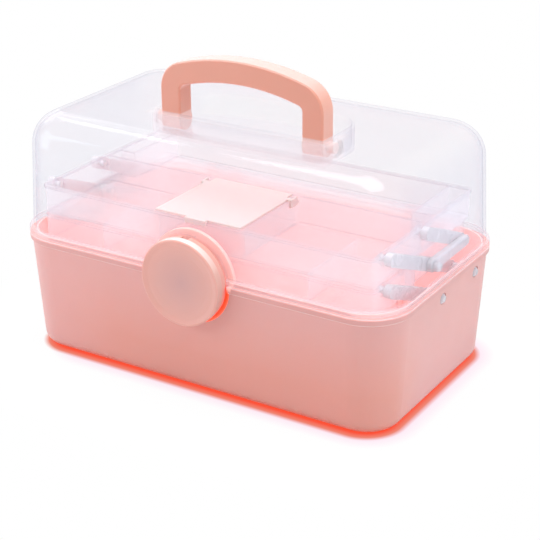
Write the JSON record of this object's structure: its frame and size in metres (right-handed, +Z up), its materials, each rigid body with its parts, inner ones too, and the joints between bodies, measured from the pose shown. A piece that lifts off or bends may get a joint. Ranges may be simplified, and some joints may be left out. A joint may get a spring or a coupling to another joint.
{
  "type": "makeup storage case",
  "caption": "Portable makeup storage case: deep rounded tub, clear hinged lid with fold-down handle, stacked clear trays on swinging arms with a hinged cover, and a round turn-knob latch.",
  "frame": {"origin": "centre of the flat underside of the tub", "axes": "+X along the length to the right seen from the front, +Y towards the lid's hinges, +Z up"},
  "size_m": [0.33, 0.2085, 0.2373],
  "materials": {
    "tub_plastic": "fine matte, slightly translucent salmon pink",
    "clear_plastic": "clear polystyrene with a faint cool tint",
    "handle_plastic": "satin salmon pink",
    "knob_plastic": "satin dusty pink",
    "cover_plastic": "satin peach cream, slightly translucent",
    "arm_plastic": "milky white, slightly translucent",
    "steel": "plain steel"
  },
  "bodies": {
    "tub": {"tub": "tub_plastic", "tub_partition": "clear_plastic", "lid_hinge_pins": "steel"},
    "lid": {"lid": "clear_plastic"},
    "handle": {"handle": "handle_plastic"},
    "latch": {"latch_knob": "knob_plastic", "latch_cam": "knob_plastic", "latch_washer": "steel", "latch_screw": "steel"},
    "lower_tray": {"lower_tray": "clear_plastic", "pivot_rail_right": "arm_plastic", "pivot_rail_left": "arm_plastic"},
    "upper_tray": {"upper_tray": "clear_plastic"},
    "tray_cover": {"tray_cover": "cover_plastic"},
    "lower_front_arm_right": {"lower_front_arm_right": "arm_plastic"},
    "lower_rear_arm_right": {"lower_rear_arm_right": "arm_plastic"},
    "upper_front_arm_right": {"upper_front_arm_right": "arm_plastic"},
    "upper_rear_arm_right": {"upper_rear_arm_right": "arm_plastic"},
    "lower_front_arm_left": {"lower_front_arm_left": "arm_plastic"},
    "lower_rear_arm_left": {"lower_rear_arm_left": "arm_plastic"},
    "upper_front_arm_left": {"upper_front_arm_left": "arm_plastic"},
    "upper_rear_arm_left": {"upper_rear_arm_left": "arm_plastic"}
  },
  "joints": [
    {"name": "lid_hinge", "type": "hinge", "parent": "tub", "child": "lid", "pos_m": [0, 0.09945, 0.0945], "axis": [-1, 0, 0], "range_deg": [0, 100]},
    {"name": "handle_fold", "type": "hinge", "parent": "lid", "child": "handle", "pos_m": [0, -0.0144, 0.183], "axis": [-1, 0, 0], "range_deg": [0, 90]},
    {"name": "knob_turn", "type": "hinge", "parent": "tub", "child": "latch", "pos_m": [0, -0.095, 0.0937], "axis": [0, 1, 0], "range_deg": [0, 90]},
    {"name": "lower_front_arm_right_swing", "type": "hinge", "parent": "tub", "child": "lower_front_arm_right", "pos_m": [0, -0.0068, 0.0815], "axis": [-1, 0, 0], "range_deg": [0, 55]},
    {"name": "lower_rear_arm_right_swing", "type": "hinge", "parent": "tub", "child": "lower_rear_arm_right", "pos_m": [0, 0.0487, 0.0815], "axis": [-1, 0, 0], "range_deg": [0, 55]},
    {"name": "lower_front_arm_left_swing", "type": "hinge", "parent": "tub", "child": "lower_front_arm_left", "pos_m": [0, -0.0068, 0.0815], "axis": [-1, 0, 0], "range_deg": [0, 55]},
    {"name": "lower_rear_arm_left_swing", "type": "hinge", "parent": "tub", "child": "lower_rear_arm_left", "pos_m": [0, 0.0487, 0.0815], "axis": [-1, 0, 0], "range_deg": [0, 55]},
    {"name": "lower_tray_level", "type": "hinge", "parent": "lower_front_arm_right", "child": "lower_tray", "pos_m": [0, -0.0623, 0.1053], "axis": [-1, 0, 0], "range_deg": [-55, 0]},
    {"name": "upper_front_arm_right_swing", "type": "hinge", "parent": "lower_tray", "child": "upper_front_arm_right", "pos_m": [0, -0.0068, 0.1053], "axis": [-1, 0, 0], "range_deg": [0, 55]},
    {"name": "upper_rear_arm_right_swing", "type": "hinge", "parent": "lower_tray", "child": "upper_rear_arm_right", "pos_m": [0, 0.0487, 0.1053], "axis": [-1, 0, 0], "range_deg": [0, 55]},
    {"name": "upper_front_arm_left_swing", "type": "hinge", "parent": "lower_tray", "child": "upper_front_arm_left", "pos_m": [0, -0.0068, 0.1053], "axis": [-1, 0, 0], "range_deg": [0, 55]},
    {"name": "upper_rear_arm_left_swing", "type": "hinge", "parent": "lower_tray", "child": "upper_rear_arm_left", "pos_m": [0, 0.0487, 0.1053], "axis": [-1, 0, 0], "range_deg": [0, 55]},
    {"name": "upper_tray_level", "type": "hinge", "parent": "upper_front_arm_right", "child": "upper_tray", "pos_m": [0, -0.0623, 0.1291], "axis": [-1, 0, 0], "range_deg": [-55, 0]},
    {"name": "tray_cover_lift", "type": "hinge", "parent": "upper_tray", "child": "tray_cover", "pos_m": [0, -0.007, 0.132], "axis": [-1, 0, 0], "range_deg": [0, 100]}
  ],
  "couplings": [
    {"joint": "lower_front_arm_right_swing", "follows": "lid_hinge", "ratio": 0.55},
    {"joint": "lower_rear_arm_right_swing", "follows": "lid_hinge", "ratio": 0.55},
    {"joint": "lower_front_arm_left_swing", "follows": "lid_hinge", "ratio": 0.55},
    {"joint": "lower_rear_arm_left_swing", "follows": "lid_hinge", "ratio": 0.55},
    {"joint": "lower_tray_level", "follows": "lid_hinge", "ratio": -0.55},
    {"joint": "upper_front_arm_right_swing", "follows": "lid_hinge", "ratio": 0.55},
    {"joint": "upper_rear_arm_right_swing", "follows": "lid_hinge", "ratio": 0.55},
    {"joint": "upper_front_arm_left_swing", "follows": "lid_hinge", "ratio": 0.55},
    {"joint": "upper_rear_arm_left_swing", "follows": "lid_hinge", "ratio": 0.55},
    {"joint": "upper_tray_level", "follows": "lid_hinge", "ratio": -0.55},
    {"joint": "tray_cover_lift", "follows": "lid_hinge", "ratio": 1}
  ]
}
